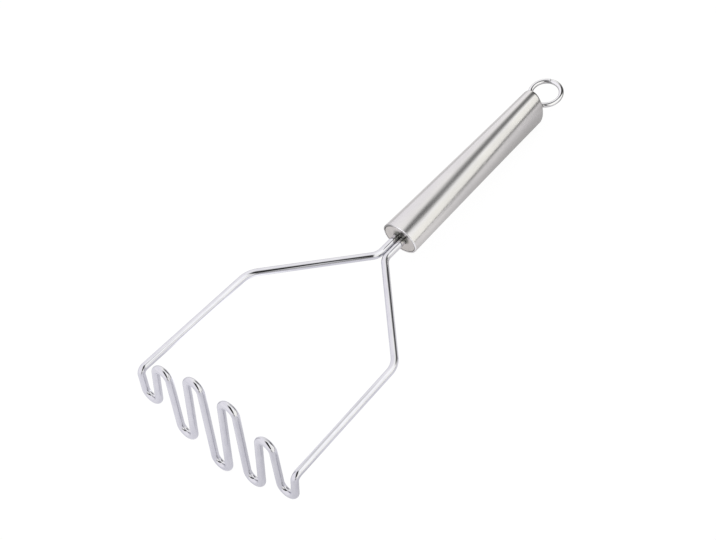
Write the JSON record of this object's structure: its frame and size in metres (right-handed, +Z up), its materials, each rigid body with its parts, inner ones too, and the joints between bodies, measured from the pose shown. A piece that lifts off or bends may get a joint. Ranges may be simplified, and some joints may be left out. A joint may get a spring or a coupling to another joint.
{
  "type": "potato masher",
  "caption": "Potato masher with a wave-shaped foot and legs bent from a continuous steel wire, a hollow oval steel handle and a hanging ring that swings at its end.",
  "frame": {"origin": "centre of the tool's outline, on the surface that it lies on", "axes": "+Y from the foot to the hanging ring, +Z up out of the surface, +X across the foot"},
  "size_m": [0.0934, 0.2478, 0.0519],
  "materials": {
    "wire_steel": "bright polished stainless steel wire",
    "handle_steel": "stainless steel brushed along the handle",
    "cap_steel": "polished stainless steel sheet",
    "stay_steel": "plain steel plate, hidden in the handle",
    "ring_steel": "bright polished steel wire"
  },
  "bodies": {
    "masher": {"masher_wire": "wire_steel", "handle_tube": "handle_steel", "front_cap": "cap_steel", "rear_cap": "cap_steel", "wire_stay": "stay_steel", "ring_eye": "ring_steel"},
    "ring": {"hanging_ring": "ring_steel"}
  },
  "joints": [
    {"name": "ring_swing", "type": "hinge", "parent": "masher", "child": "ring", "pos_m": [0, 0.1078, 0.0105], "axis": [1, 0, 0], "range_deg": [-118, 106]}
  ]
}
